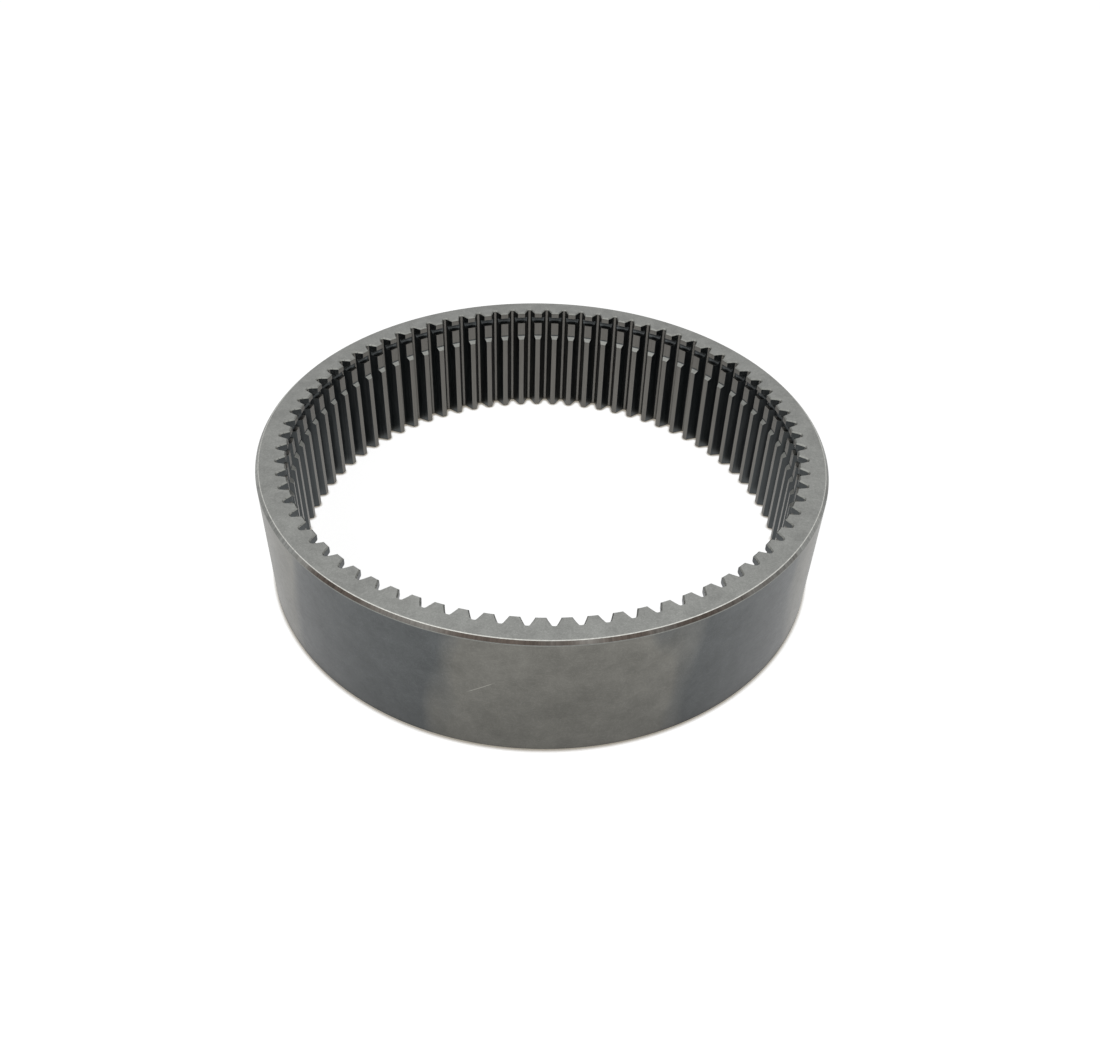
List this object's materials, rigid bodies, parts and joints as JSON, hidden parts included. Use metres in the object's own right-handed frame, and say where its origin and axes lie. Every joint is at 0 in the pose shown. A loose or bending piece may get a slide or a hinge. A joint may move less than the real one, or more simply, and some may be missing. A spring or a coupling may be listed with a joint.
{
  "type": "internal ring gear",
  "caption": "Ring gear with straight involute teeth inside, a plain cylindrical outside and a retaining-ring groove near one end.",
  "frame": {"origin": "on the gear's axis, in the lower face (the plain end)", "axes": "+Z along the axis, towards the end with the groove; +X through the middle of a tooth space"},
  "size_m": [0.255, 0.255, 0.06],
  "materials": {
    "ring_gear": "ground and machined steel, satin, bare"
  },
  "bodies": {
    "root": {"ring_gear": "ring_gear"}
  },
  "joints": []
}
